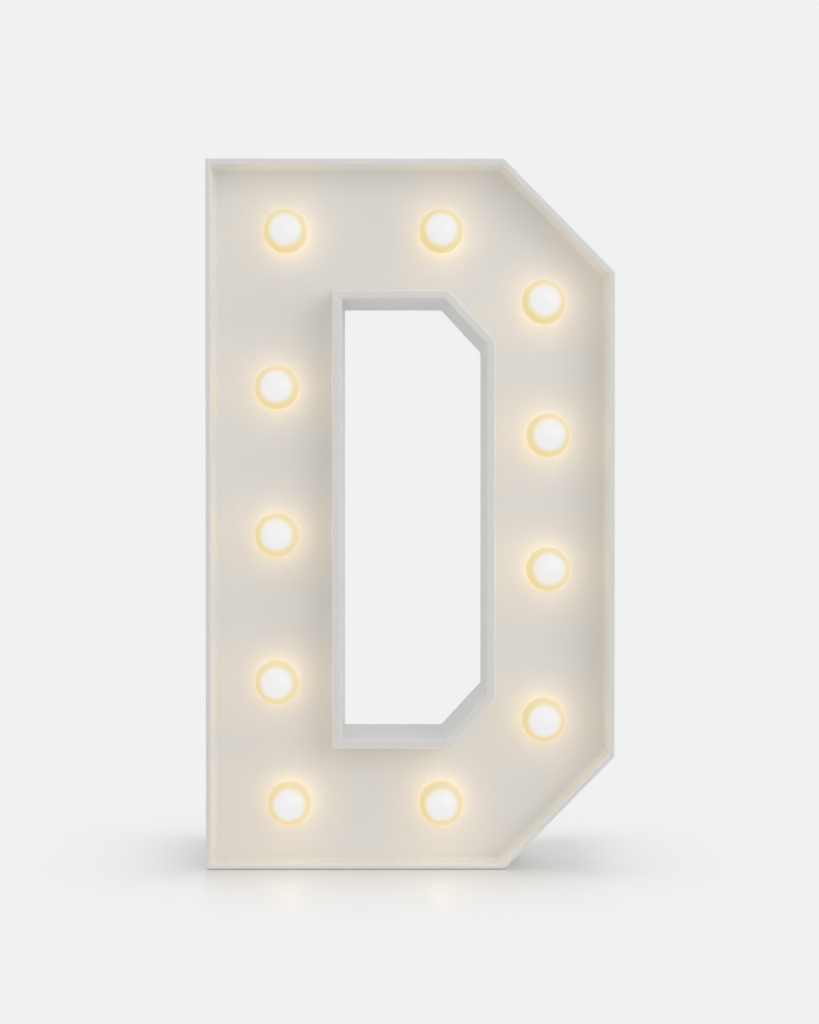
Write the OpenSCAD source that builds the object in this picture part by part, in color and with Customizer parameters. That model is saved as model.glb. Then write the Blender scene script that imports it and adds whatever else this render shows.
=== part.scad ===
// Light-up marquee letter in moulded plastic. A shell with a recessed front carries eleven bulb caps,
// each over its own diode, and an inset back cover holds two AA cells, their door and a slide switch.
// Millimetres. +Z is up, the front faces -Y, and the origin is at the middle of the base.

/* [Letter] */
// Height of the letter
letter_h = 220; // [200:1:260]
// Width of the letter
letter_w = 126.6; // [122:0.1:160]
// Width of each cut right-hand corner
corner_x = 34.3; // [26:0.1:38]
// Height of each cut right-hand corner
corner_z = 35; // [26:0.1:40]
// Thickness of the outer wall and of its rim
wall = 1.8; // [1.2:0.1:2.4]
// Depth of the front panel behind the rim
recess = 13.2; // [10:0.1:20]
// Thickness of the front panel
panel_t = 2; // [1.5:0.1:3]
// Width of the left stem, from the left side to the counter's rim
stem_w = 39.1; // [38.5:0.1:46]
// Width of the right bar, from the counter's rim to the right side
bowl_w = 37; // [32:0.1:42]
// Height of the top bar, from the counter's rim to the top
bar_top = 40.5; // [36:0.1:46]
// Height of the bottom bar, from the base to the counter's rim
bar_bottom = 37.5; // [33:0.1:44]
// Thickness of the wall round the counter
counter_wall = 3; // [2:0.1:4]
// Radius of the rounded inner edge of the counter's rim
counter_lip_r = 0.9; // [0.4:0.1:1.4]
// Width of each cut corner of the counter's hole
counter_cut_x = 12.9; // [8:0.1:18]
// Height of each cut corner of the counter's hole
counter_cut_z = 13.9; // [8:0.1:20]

/* [Bulb places] */
// Distance of the stem's bulbs from the left side
stem_line = 21.7; // [17:0.1:24]
// Spacing of the stem's bulbs
stem_pitch = 46; // [38:0.5:50]
// Drop of the stem's middle bulb below mid-height
stem_drop = 6.3; // [0:0.1:12]
// Distance of the right bar's bulbs from the right side
bowl_line = 20.2; // [16:0.1:22]
// Spacing of the right bar's two middle bulbs
bowl_pitch = 41.8; // [34:0.1:46]
// Rise of the right bar's bulbs above mid-height
bowl_rise = 3.9; // [0:0.1:8]
// Distance of the two corner bulbs from the right side
corner_line = 21.6; // [20:0.1:24]
// Distance of the upper corner bulb from the top
upper_corner_drop = 43.6; // [40:0.1:48]
// Height of the lower corner bulb
lower_corner_rise = 45.9; // [40:0.1:48]
// Distance of the top row's bulbs from the top
top_line = 21.6; // [16:0.1:24]
// Height of the bottom row's bulbs
bottom_line = 19.8; // [16:0.1:22]
// Distance of the top row's first bulb from the left side
top_first = 24.5; // [20:0.1:30]
// Distance of the bottom row's first bulb from the left side
bottom_first = 25.6; // [20:0.1:30]
// Distance of the last bulb of both rows from the right side
row_last = 53.6; // [48:0.1:60]

/* [Bulbs] */
// Diameter of the globe of a bulb cap
globe_d = 14; // [12:0.1:16]
// Wall of the globe
globe_wall = 0.9; // [0.6:0.1:1.5]
// How far the globe sinks into its flange
globe_sink = 1; // [0.5:0.1:1.5]
// Diameter of the flange that seats on the panel
flange_d = 11.2; // [10.5:0.1:12]
// Thickness of that flange
flange_t = 0.8; // [0.5:0.1:1.5]
// Diameter of the neck that passes through the panel
neck_d = 9; // [8:0.1:10]
// How far the neck reaches behind the panel
neck_back = 3; // [2.4:0.1:5]
// Height of the snap ridge round the neck behind the panel
ridge_h = 0.25; // [0.1:0.05:0.4]
// Length of that ridge
ridge_l = 1; // [0.6:0.1:1.6]
// Diameter of a diode
led_d = 5; // [4:0.1:5.4]
// Length of a diode from the back of its flange to its tip
led_l = 8.6; // [7:0.1:10]
// Diameter of the diode's flange
led_flange_d = 5.8; // [5.6:0.1:7]
// Thickness of the diode's flange
led_flange_t = 1; // [0.6:0.1:1.5]
// Length of the diode's trimmed leads
led_lead = 2.9; // [1.5:0.1:6]
// Spacing of the diode's leads
led_pitch = 2.54; // [2:0.01:3.2]
// Side of a diode's square lead
lead_t = 0.5; // [0.3:0.05:0.7]

/* [Back cover] */
// Thickness of the back cover
cover_t = 2; // [1.6:0.1:2.6]
// Diameter of the shell's screw bosses
boss_d = 7; // [5:0.1:8]
// Diameter of the cover's screw bosses
cover_boss_d = 8; // [7:0.1:9]
// Distance of the outer bosses from the sides, top and base
boss_inset = 7; // [6.5:0.1:9]
// Distance of the right bar's bosses from mid-height
boss_spread = 48; // [40:0.5:60]
// Distance of the stem's bosses from the counter's rim
boss_gap = 5.5; // [4.8:0.1:7]
// Distance of the stem's bosses from the counter's upper and lower rims
boss_drop = 12; // [6:0.5:14]
// Diameter of the cover screws
screw_d = 2.6; // [2:0.1:3]
// Length of a cover screw under its head
screw_l = 10; // [7:0.5:14]
// Diameter of a cover screw's head
screw_head_d = 5; // [4:0.1:5.4]
// Height of a cover screw's head
screw_head_h = 1.8; // [1.2:0.1:2.6]
// Depth of the counterbore for the head
screw_sink = 3; // [2.8:0.1:4]
// Thickness of the cover under the head
screw_web = 3; // [2:0.1:4]
// Diameter of the keyhole's head hole
keyhole_d = 8; // [6:0.1:10]
// Width of the keyhole's slot
keyhole_slot_w = 4.2; // [3:0.1:5]
// Rise of the keyhole's slot above the head hole's middle
keyhole_rise = 8; // [6:0.1:10]
// Distance of the keyhole from the left side
keyhole_line = 52; // [44:0.1:62]
// Distance of the keyhole's head hole from the top
keyhole_drop = 15; // [14:0.1:28]

/* [Battery well] */
// Diameter of a cell
cell_d = 14.5; // [13.8:0.1:14.6]
// Length of a cell with its nub
cell_l = 50.5; // [49:0.1:52]
// Diameter of a cell's nub
nub_d = 5.5; // [4.5:0.1:6]
// Height of a cell's nub
nub_h = 1; // [0.8:0.1:1.6]
// Gap between the two cells
cell_side_gap = 0.7; // [0.4:0.1:1.2]
// Gap between a cell and the well's side
cell_edge_gap = 0.35; // [0.2:0.05:0.6]
// Gap between the cells and the well's floor
cell_gap = 0.6; // [0.3:0.1:1.5]
// Wall of the well
well_wall = 1.8; // [1.6:0.1:2]
// Thickness of the well's floor
well_floor = 1.5; // [1:0.1:2.5]
// Height of the well's middle
well_z = 95; // [80:1:100]
// Thickness of the contact plates
contact_t = 0.4; // [0.3:0.05:0.6]
// Width and height of a contact plate
contact_w = 11; // [9:0.1:12]
// Height of the raised button on a contact plate
button_h = 0.4; // [0.2:0.1:0.8]
// Diameter of that button
button_d = 4.4; // [3:0.1:6]
// Width of a contact's solder tab
tab_w = 3; // [2:0.1:4]
// How far a solder tab stands out of the well
tab_l = 3; // [2:0.1:5]
// Thickness of the posts that hold the contact plates
post_t = 1; // [0.8:0.1:1.4]
// Length of a contact spring
spring_l = 4.8; // [4.6:0.1:8]
// Diameter of a contact spring at its plate
spring_base_d = 8.4; // [7.4:0.1:9]
// Diameter of a contact spring at the cell
spring_tip_d = 5; // [4:0.1:5.6]
// Turns of a contact spring
spring_turns = 3.5; // [2.5:0.5:3.5]
// Diameter of the spring wire
spring_wire_d = 0.6; // [0.4:0.05:0.7]

/* [Battery door] */
// Thickness of the door
door_t = 1.8; // [1.4:0.1:1.9]
// Gap between the cells and the door
door_gap = 1.4; // [1:0.1:3]
// Width of the ledge that the door lies on
door_ledge = 1.2; // [0.9:0.1:1.4]
// Width of each hinge tongue
tongue_w = 6; // [4:0.1:8]
// Thickness of a hinge tongue
tongue_t = 1.1; // [0.8:0.1:1.3]
// How far a tongue reaches past the door's lower edge
tongue_reach = 2; // [1.2:0.1:2.4]
// Thickness of the web between a tongue and the door
tongue_web = 1.2; // [0.8:0.1:1.4]
// Spacing of the two tongues
tongue_spread = 16; // [12:0.5:18]
// Width of the snap latch
latch_w = 9; // [7:0.1:11]
// Thickness of the latch's strip
latch_t = 1; // [0.8:0.1:1.2]
// Inner radius of the latch's bend
latch_r = 1.1; // [0.8:0.1:1.2]
// Depth of the latch below the back
latch_depth = 6; // [5:0.1:7]
// Height of the pocket that the latch stands in
latch_room = 5; // [4.8:0.1:6]
// Wall of the latch pocket
latch_wall = 1.2; // [0.8:0.1:1.6]
// Width of the finger scoop above the door
scoop_w = 12; // [9:0.1:16]
// Depth of the finger scoop
scoop_depth = 1.2; // [0.6:0.1:1.4]
// Radius of the finger scoop
scoop_r = 9; // [7:0.5:14]
// Number of grip grooves across the door
grip_count = 4; // [0:1:6]
// Spacing of the grip grooves
grip_pitch = 2.4; // [2:0.1:3]
// Width of a grip groove
grip_w = 1; // [0.6:0.1:1.2]
// Depth of a grip groove
grip_depth = 0.4; // [0.2:0.05:0.6]
// Length of a grip groove
grip_l = 16; // [8:0.5:22]

/* [Slide switch] */
// Distance of the switch above the door's opening
switch_rise = 14; // [13:0.1:18]
// Length of the oval pocket round the knob
pocket_l = 16; // [15:0.1:20]
// Width of the oval pocket
pocket_w = 8; // [7:0.1:9]
// Depth of the oval pocket
pocket_depth = 3; // [2.6:0.1:3.6]
// Thickness of the pocket's floor and rim
pocket_wall = 1.2; // [1:0.1:1.6]
// Travel of the knob
knob_travel = 3; // [2:0.1:4]
// Length of the knob's cap
knob_l = 6; // [4.5:0.1:7]
// Width of the knob's cap
knob_w = 4.8; // [3.6:0.1:5.4]
// How far the knob's cap lies below the back
knob_sink = 0.7; // [0.4:0.1:1]
// Number of ridges on the knob's cap
knob_ridges = 3; // [2:1:4]
// Length of the knob's stem
stem_l = 4; // [3:0.1:5]
// Width of the knob's stem
stem_t = 3; // [2:0.1:3.4]
// Length of the switch frame's box
frame_l = 12; // [11.5:0.1:16]
// Width of the switch frame
frame_w = 6; // [5.8:0.1:8]
// Depth of the switch frame's box
frame_h = 5.5; // [5:0.1:7]
// Thickness of the frame's sheet
sheet_t = 0.5; // [0.3:0.05:0.7]
// Spacing of the frame's two screws
ear_pitch = 19; // [18.4:0.1:24]
// Length of an ear past its screw
ear_end = 2.6; // [2.2:0.1:3.2]
// Diameter of the cover's posts for the switch
switch_post_d = 4.4; // [3.6:0.1:5]
// Length of those posts
switch_post_l = 2.5; // [2:0.1:4]
// Diameter of the switch screws
small_screw_d = 2; // [1.6:0.1:2.4]
// Length of a switch screw under its head
small_screw_l = 3.5; // [3:0.1:3.8]
// Diameter of a switch screw's head
small_head_d = 3.8; // [3:0.1:4.2]
// Height of a switch screw's head
small_head_h = 1.4; // [1:0.1:1.8]
// Thickness of the switch's insulating base
base_t = 1; // [0.6:0.1:1.4]
// Spacing of the terminals
terminal_pitch = 4; // [3:0.1:4.2]
// Width of a terminal
terminal_w = 1.6; // [1:0.1:2]
// How far a terminal stands out of the base
terminal_l = 4; // [2.5:0.1:5]

/* [Wiring] */
// Diameter of the insulated wires
wire_d = 1.2; // [0.8:0.05:1.4]
// Radius of the bends in the wires
wire_bend = 4; // [2:0.1:6]
// Spare room behind the wires
wiring_spare = 1.65; // [1.2:0.05:6]
// Diameter of the resistor's body
resistor_d = 2.4; // [1.8:0.1:2.6]
// Length of the resistor's body
resistor_l = 6.3; // [5:0.1:8]
// Diameter of the resistor's leads
resistor_lead_d = 0.6; // [0.4:0.05:0.8]
// Length of each of the resistor's straight leads
resistor_lead_l = 6; // [4:0.1:8]

/* [Fits] */
// Gap between the back cover and the shell
cover_fit = 0.2; // [0.1:0.05:0.4]
// Gap under a face that seats on another piece
seat_fit = 0.1; // [0.05:0.05:0.2]
// Gap round the neck of a globe
globe_fit = 0.05; // [0.02:0.01:0.1]
// Gap round a diode in its globe
led_fit = 0.1; // [0.05:0.01:0.2]
// Gap round a screw in its pilot hole
thread_fit = 0.05; // [0.02:0.01:0.1]
// Gap round a screw in its clearance hole
screw_fit = 0.2; // [0.1:0.05:0.3]
// Gap round the battery door and the switch knob
move_fit = 0.3; // [0.25:0.05:0.4]
// Gap between soldered pieces
solder_gap = 0.25; // [0.15:0.05:0.3]

/* [Hidden] */
$fn = 48;

// How far a cutter passes the face that it cuts, and how far fused pieces lap
cut = 1;
lap = 0.5;

// Layers from the rim to the back
wiring_room = neck_back + led_flange_t + led_lead + solder_gap + wire_d + wiring_spare;
depth = recess + panel_t + wiring_room + well_floor + cell_gap + cell_d + door_gap + door_t;
y_front = -depth / 2;
y_back = depth / 2;
y_panel = y_front + recess;
y_panel_back = y_panel + panel_t;
y_neck_end = y_panel_back + neck_back;
y_led_back = y_neck_end + led_flange_t;
y_lead_tip = y_led_back + led_lead;
y_bus = y_lead_tip + solder_gap + wire_d / 2;
y_cover = y_back - cover_t;
y_door_in = y_back - door_t;
y_ledge = y_door_in - move_fit;
y_cell = y_door_in - door_gap - cell_d / 2;
y_well_in = y_cell - cell_d / 2 - cell_gap;
y_well_out = y_well_in - well_floor;
y_head_seat = y_back - screw_sink;
y_boss = y_head_seat - screw_web;

// Sides of the letter and of the counter's rim
left = -letter_w / 2;
right = letter_w / 2;
middle = letter_h / 2;
rim_left = left + stem_w;
rim_right = right - bowl_w;
rim_top = letter_h - bar_top;

// A rectangle whose two right-hand corners are cut, run anticlockwise
function cut_rect(x0, x1, z0, z1, cut_x, cut_z) = [
    [x0, z0], [x1 - cut_x, z0], [x1, z0 + cut_z], [x1, z1 - cut_z], [x1 - cut_x, z1], [x0, z1],
];
function unit(v) = v / norm(v);
function outward(a, b) = let (d = unit(b - a)) [d[1], -d[0]];
// A corner moved outwards so that both of its sides move by the same distance
function mitred(a, b, c, by) =
    let (n1 = outward(a, b), n2 = outward(b, c)) b + by * (n1 + n2) / (1 + n1 * n2);
function grown(points, by) =
    let (n = len(points))
    [for (i = [0:n - 1]) mitred(points[(i + n - 1) % n], points[i], points[(i + 1) % n], by)];

letter_outline = cut_rect(left, right, 0, letter_h, corner_x, corner_z);
counter_outline = cut_rect(
    rim_left + counter_wall, rim_right - counter_wall,
    bar_bottom + counter_wall, rim_top - counter_wall,
    counter_cut_x, counter_cut_z
);
rim_outline = grown(counter_outline, counter_wall);

// Bulbs in the order of their wiring, from the stem's upper bulb clockwise to its middle one
stem_middle = middle - stem_drop;
bowl_middle = middle + bowl_rise;
bulb_places = [
    [left + stem_line, stem_middle + stem_pitch],
    [left + top_first, letter_h - top_line],
    [right - row_last, letter_h - top_line],
    [right - corner_line, letter_h - upper_corner_drop],
    [right - bowl_line, bowl_middle + bowl_pitch / 2],
    [right - bowl_line, bowl_middle - bowl_pitch / 2],
    [right - corner_line, lower_corner_rise],
    [right - row_last, bottom_line],
    [left + bottom_first, bottom_line],
    [left + stem_line, stem_middle - stem_pitch],
    [left + stem_line, stem_middle],
];
bulb_count = len(bulb_places);
globe_r = globe_d / 2;
y_globe = y_panel - globe_r + globe_sink;

screw_places = [
    [left + boss_inset, letter_h - boss_inset],
    [right - corner_x - boss_inset, letter_h - boss_inset],
    [right - boss_inset, middle + boss_spread],
    [right - boss_inset, middle - boss_spread],
    [right - corner_x - boss_inset, boss_inset],
    [left + boss_inset, boss_inset],
    [rim_left - boss_gap, rim_top - boss_drop],
    [rim_left - boss_gap, bar_bottom + boss_drop],
];

// Battery well, in the middle of the stem
well_x = (left + wall + rim_left) / 2;
well_w = 2 * cell_d + cell_side_gap + 2 * cell_edge_gap;
contact_stack = seat_fit + contact_t;
touch_gap = seat_fit;
well_l = cell_l + button_h + spring_l + 2 * contact_stack + 2 * touch_gap;
well_low = well_z - well_l / 2;
well_high = well_z + well_l / 2;
cell_x = (cell_d + cell_side_gap) / 2;
plate_low = well_low + contact_stack;
plate_high = well_high - contact_stack;

// Door opening, door and hinge
opening_w = well_w + 2 * door_ledge;
opening_low = well_low - door_ledge;
opening_high = well_high + well_wall + latch_room;
door_w = opening_w - 2 * move_fit;
door_low = opening_low + move_fit;
door_high = opening_high - move_fit;
hinge_y = y_back - door_t / 2;
hinge_z = door_low + door_t / 2;
tongue_top = y_cover - move_fit;
tongue_bottom = tongue_top - tongue_t;
tongue_low = door_low - tongue_reach;
tongue_sweep = norm([hinge_y - tongue_bottom, hinge_z - tongue_low]);
latch_sweep = norm([latch_depth - door_t / 2, door_high - hinge_z]) - (door_high - hinge_z);

// Switch
switch_z = opening_high + switch_rise;
y_pocket = y_back - pocket_depth;
y_pocket_front = y_pocket - pocket_wall;
y_ear = y_pocket_front - switch_post_l;
y_frame = y_ear - frame_h;
y_base_back = y_frame + base_t;
y_terminal = y_frame - terminal_l;
slot_l = stem_l + knob_travel + 2 * move_fit;
slot_w = stem_t + 2 * move_fit;
knob_x = well_x - knob_travel / 2;

// A flat shape drawn in X and Z, made solid between two depths
module slab(y0, y1) {
    translate([0, y1, 0]) rotate([90, 0, 0]) linear_extrude(y1 - y0) children();
}

// A profile drawn in Y and Z, made solid between two widths
module bar(x0, x1) {
    translate([x0, 0, 0]) rotate([90, 0, 90]) linear_extrude(x1 - x0) children();
}

// A round rod along Y
module rod(place, y0, y1, d) {
    translate([place[0], y1, place[1]]) rotate([90, 0, 0]) cylinder(h = y1 - y0, d = d);
}

// A box given by its limits
module block(x0, x1, y0, y1, z0, z1) {
    translate([x0, y0, z0]) cube([x1 - x0, y1 - y0, z1 - z0]);
}

// A box between two heights, given by the middle of its width
module centred_block(x, w, y0, y1, z0, z1) {
    block(x - w / 2, x + w / 2, y0, y1, z0, z1);
}

// A strip with round ends
module oval(l, w) {
    square([l - w, w], center = true);
    for (side = [-1, 1]) translate([side * (l - w) / 2, 0]) circle(d = w);
}

// Straight runs through the given points, with each corner rounded off by a short curve
function rounded(points, reach) =
    let (n = len(points), steps = 4)
    concat([points[0]], [
        for (i = [1:n - 2])
            let (
                a = points[i - 1], b = points[i], c = points[i + 1],
                r = min(reach, norm(b - a) / 2.5, norm(c - b) / 2.5),
                p = b + r * unit(a - b), q = b + r * unit(c - b)
            )
            for (s = [0:steps])
                let (t = s / steps) (1 - t) * (1 - t) * p + 2 * t * (1 - t) * b + t * t * q,
    ], [points[n - 1]]);

// One tube through the points. Each ring is square to the run, and turned by that point's side vector.
module tube(points, sides_of, d, sides) {
    n = len(points);
    rings = [
        for (i = [0:n - 1])
            let (
                before = points[max(i - 1, 0)], after = points[min(i + 1, n - 1)], here = points[i],
                into = i == 0 ? unit(after - here) : unit(here - before),
                out = i == n - 1 ? into : unit(after - here),
                along = unit(into + out),
                v = unit(cross(along, sides_of[i])), u = cross(v, along),
                stretch = 1 / max(0.5, norm(into + out) / 2), bend = out - into,
                b = norm(bend) < 0.001 ? u : unit(bend)
            )
            for (k = [0:sides - 1])
                let (a = 360 * k / sides, spoke = d / 2 * (cos(a) * u + sin(a) * v))
                here + spoke + (stretch - 1) * (spoke * b) * b
    ];
    walls = [
        for (i = [0:n - 2], k = [0:sides - 1])
            let (a = i * sides + k, b = i * sides + (k + 1) % sides)
            for (face = [[a, a + sides, b + sides], [a, b + sides, b]]) face
    ];
    last = (n - 1) * sides;
    ends = [for (k = [1:sides - 2], face = [[0, k, k + 1], [last, last + k + 1, last + k]]) face];
    polyhedron(rings, concat(walls, ends));
}

// An insulated wire through the given points
module wire(points) {
    route = rounded(points, wire_bend);
    tube(route, [for (p = route) [0, 1, 0]], wire_d, 8);
}

// Points of a conical contact spring that stands on Z, with a straight run at each end
spring_steps = 10;
function spring_points(l) =
    let (n = round(spring_turns * spring_steps), run = spring_wire_d, rise = l - 2 * run)
    [
        for (i = [-1:n + 1])
            let (
                s = min(max(i / n, 0), 1), a = 360 * spring_turns * s,
                r = (spring_base_d * (1 - s) + spring_tip_d * s - spring_wire_d) / 2,
                z = i < 0 ? -lap * contact_t : (i > n ? l : run + rise * s)
            )
            [r * cos(a), r * sin(a), z]
    ];
function spring_sides() =
    let (n = round(spring_turns * spring_steps))
    [for (i = [-1:n + 1]) let (a = 360 * spring_turns * min(max(i / n, 0), 1)) [cos(a), sin(a), 0]];
spring_route = spring_points(spring_l);
spring_gap = min([
    for (i = [0:len(spring_route) - 1], j = [0:len(spring_route) - 1])
        if (j - i > spring_steps / 2) norm(spring_route[j] - spring_route[i]) - spring_wire_d
]);
echo(least_gap_of_contact_spring_to_itself = spring_gap);

// The counter's hole. Each side is cut by a long bar, whose outer face rolls open at the rim.
module counter_hole() {
    reach = letter_h + letter_w;
    n = len(counter_outline);
    r = counter_lip_r;
    intersection_for (i = [0:n - 1]) {
        a = counter_outline[i];
        d = counter_outline[(i + 1) % n] - a;
        translate([a[0], 0, a[1]]) rotate([0, -atan2(d[1], d[0]), 0]) bar(-reach, reach) {
            translate([y_front - cut, 0]) square([depth + 2 * cut, reach]);
            difference() {
                translate([y_front - cut, -r]) square([r + cut, r + lap]);
                translate([y_front + r, -r]) circle(r);
            }
        }
    }
}

module letter_shell() {
    color("whitesmoke") difference() {
        union() {
            slab(y_front, y_back) difference() {
                polygon(letter_outline);
                polygon(grown(letter_outline, -wall));
            }
            slab(y_front, y_back) polygon(rim_outline);
            slab(y_panel, y_panel_back) polygon(grown(letter_outline, -wall / 2));
            for (place = screw_places) rod(place, y_panel_back - lap, y_boss, boss_d);
        }
        counter_hole();
        for (place = bulb_places) rod(place, y_panel - cut, y_panel_back + cut, neck_d + 2 * globe_fit);
        for (place = screw_places)
            rod(place, y_head_seat - screw_l - cut, y_boss + cut, screw_d + 2 * thread_fit);
    }
}

// The inset plate of the back cover, with the moulded boxes behind it before they are hollowed
module cover_solid() {
    y_lap = y_cover + lap;
    slab(y_cover, y_back) difference() {
        polygon(grown(letter_outline, -wall - cover_fit));
        polygon(grown(rim_outline, cover_fit));
    }
    centred_block(
        well_x, well_w + 2 * well_wall, y_well_out, y_lap, well_low - well_wall, well_high + well_wall
    );
    centred_block(
        well_x, well_w + 2 * well_wall, y_ledge - well_floor, y_lap,
        well_high, opening_high + latch_wall
    );
    centred_block(
        well_x, latch_w + 2 * (move_fit + latch_wall),
        y_back - latch_depth - move_fit - latch_wall, y_lap,
        well_high, opening_high + latch_sweep + latch_wall
    );
    slab(y_pocket_front, y_lap) translate([well_x, switch_z])
        oval(pocket_l + 2 * pocket_wall, pocket_w + 2 * pocket_wall);
    for (side = [-1, 1])
        rod([well_x + side * ear_pitch / 2, switch_z], y_ear, y_lap, switch_post_d);
    for (place = screw_places) rod(place, y_boss + seat_fit, y_lap, cover_boss_d);
}

// Two posts beside each contact plate, which keep it against its end wall
module contact_posts() {
    y_post = y_cell + contact_w / 2;
    grip = contact_t + 2 * seat_fit;
    post_w = cell_d / 2 - contact_w / 2 + cell_edge_gap;
    for (side = [-1, 1], end = [-1, 1]) {
        x = well_x + side * (well_w / 2 - post_w / 2);
        wall_z = end > 0 ? well_high : well_low;
        z = wall_z - end * (grip + post_t / 2);
        centred_block(x, post_w, y_well_in - lap, y_post, z - post_t / 2, z + post_t / 2);
    }
}

module keyhole_cut() {
    place = [left + keyhole_line, letter_h - keyhole_drop];
    rod(place, y_cover - cut, y_back + cut, keyhole_d);
    rod(place + [0, keyhole_rise], y_cover - cut, y_back + cut, keyhole_slot_w);
    centred_block(
        place[0], keyhole_slot_w, y_cover - cut, y_back + cut, place[1], place[1] + keyhole_rise
    );
}

module back_cover() {
    y_out = y_back + cut;
    color("gainsboro") {
        difference() {
            cover_solid();
            // Door opening, well and latch pocket
            centred_block(well_x, opening_w, y_ledge, y_out, opening_low, opening_high);
            centred_block(well_x, well_w, y_well_in, y_out, well_low, well_high);
            centred_block(
                well_x, latch_w + 2 * move_fit, y_back - latch_depth - move_fit, y_ledge,
                well_high + well_wall, opening_high + latch_sweep
            );
            centred_block(
                well_x, latch_w + 2 * move_fit, y_ledge - cut, y_out,
                well_high + well_wall, opening_high
            );
            for (side = [-1, 1])
                centred_block(
                    well_x + side * tongue_spread / 2, tongue_w + 2 * move_fit,
                    hinge_y - tongue_sweep - move_fit, y_cover, well_low - well_wall - cut, well_low + cut
                );
            bar(well_x - scoop_w / 2, well_x + scoop_w / 2)
                translate([y_back + scoop_r - scoop_depth, opening_high]) circle(scoop_r);
            // Slots for the two solder tabs
            for (side = [-1, 1])
                centred_block(
                    well_x + side * cell_x, tab_w + 2 * cover_fit,
                    y_cell - contact_w / 2 - cover_fit, y_cell - contact_w / 2 + contact_t + cover_fit,
                    well_high - cut, well_high + well_wall + cut
                );
            // Switch pocket, slot and pilot holes
            slab(y_pocket, y_out) translate([well_x, switch_z]) oval(pocket_l, pocket_w);
            centred_block(
                well_x, slot_l, y_pocket_front - cut, y_pocket + cut,
                switch_z - slot_w / 2, switch_z + slot_w / 2
            );
            for (side = [-1, 1])
                rod([well_x + side * ear_pitch / 2, switch_z], y_ear - cut,
                    y_ear - sheet_t + small_screw_l + seat_fit, small_screw_d + 2 * thread_fit);
            // Screw holes with their counterbores
            for (place = screw_places) {
                rod(place, y_boss - cut, y_out, screw_d + 2 * screw_fit);
                rod(place, y_head_seat, y_out, screw_head_d + 2 * screw_fit);
            }
            keyhole_cut();
        }
        contact_posts();
    }
}

// A pan-head screw along Y, with its point towards the front and a cross in its head
module screw(place, y_seat, d, l, head_d, head_h) {
    slot = head_d / 7;
    deep = head_h / 2;
    difference() {
        union() {
            rod(place, y_seat - l, y_seat, d);
            rod(place, y_seat, y_seat + head_h, head_d);
        }
        for (size = [[0.6 * head_d, slot], [slot, 0.6 * head_d]])
            slab(y_seat + head_h - deep, y_seat + head_h + cut)
                translate(place) square(size, center = true);
    }
}

module cover_screws() {
    color("silver")
        for (place = screw_places) screw(place, y_head_seat, screw_d, screw_l, screw_head_d, screw_head_h);
}

// A hollow bulb cap: globe, seating flange, and a neck with a snap ridge behind the panel
module bulb_globe(i) {
    place = bulb_places[i];
    ridge_y = y_panel_back + seat_fit;
    color("khaki") difference() {
        union() {
            translate([place[0], y_globe, place[1]]) sphere(globe_r);
            rod(place, y_panel - flange_t, y_panel, flange_d);
            rod(place, y_globe, y_neck_end, neck_d);
            rod(place, ridge_y, ridge_y + ridge_l, neck_d + 2 * ridge_h);
        }
        translate([place[0], y_globe, place[1]]) sphere(globe_r - globe_wall);
        rod(place, y_globe, y_neck_end + cut, led_d + 2 * led_fit);
    }
}

// Direction across the wiring at each bulb, towards the counter
function run_side(i) =
    let (
        into = i > 0 ? outward(bulb_places[i - 1], bulb_places[i]) : [0, 0],
        out = i < bulb_count - 1 ? outward(bulb_places[i], bulb_places[i + 1]) : [0, 0]
    )
    unit(into + out);

module led(i) {
    place = bulb_places[i];
    y_tip = y_led_back - led_l;
    color("ghostwhite") {
        rod(place, y_neck_end, y_led_back, led_flange_d);
        rod(place, y_tip + led_d / 2, y_neck_end + led_flange_t / 2, led_d);
        translate([place[0], y_tip + led_d / 2, place[1]]) sphere(d = led_d);
        for (side = [-1, 1]) {
            foot = place + side * led_pitch / 2 * run_side(i);
            slab(y_led_back - led_flange_t / 2, y_lead_tip) translate(foot) square(lead_t, center = true);
        }
    }
}

// Points of a bus wire, beside the bulbs on one side. It runs on past the first and last diode.
function bus_point(i, side) =
    let (
        by = side * led_pitch / 2, n = bulb_count - 1,
        p = i == 0 ? bulb_places[0] + by * run_side(0)
            : i == n ? bulb_places[n] + by * run_side(n)
            : mitred(bulb_places[i - 1], bulb_places[i], bulb_places[i + 1], by)
    )
    p;
function bus_route(side) =
    let (
        n = bulb_count - 1, end_run = 2 * wire_d,
        first = bus_point(0, side), last = bus_point(n, side),
        flat = concat(
            [first + end_run * unit(first - bus_point(1, side))],
            [for (i = [1:n - 1]) bus_point(i, side)],
            [last + end_run * unit(last - bus_point(n - 1, side))]
        )
    )
    [for (p = flat) [p[0], y_bus, p[1]]];
// Place of a bus wire at a height between the first and the second bulb
function bus_x(side, z) =
    let (a = bus_point(0, side), b = bus_point(1, side)) a[0] + (b[0] - a[0]) * (z - a[1]) / (b[1] - a[1]);

module positive_bus_wire() {
    color("firebrick") wire(bus_route(-1));
}

module negative_bus_wire() {
    color("dimgray") wire(bus_route(1));
}

// Ends of the solder tabs, and the line along which a wire passes the terminals' tips
y_tab = y_cell - contact_w / 2 + contact_t / 2;
tab_end = well_high + well_wall + tab_l;
y_solder = y_terminal - solder_gap - wire_d / 2;
resistor_x = bus_x(-1, bulb_places[0][1]) - wire_bend;
y_resistor = y_bus + wire_d / 2 + solder_gap + resistor_lead_d / 2;
resistor_low = switch_z + wire_bend + 2 * frame_w / 3;

module battery_lead() {
    x = well_x - cell_x;
    terminal_x = well_x - terminal_pitch;
    color("firebrick") wire([
        [x, y_tab, tab_end + solder_gap],
        [x, y_tab, tab_end + wire_bend],
        [terminal_x, y_solder, switch_z - wire_bend],
        [terminal_x, y_solder, switch_z + terminal_w],
    ]);
}

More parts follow.
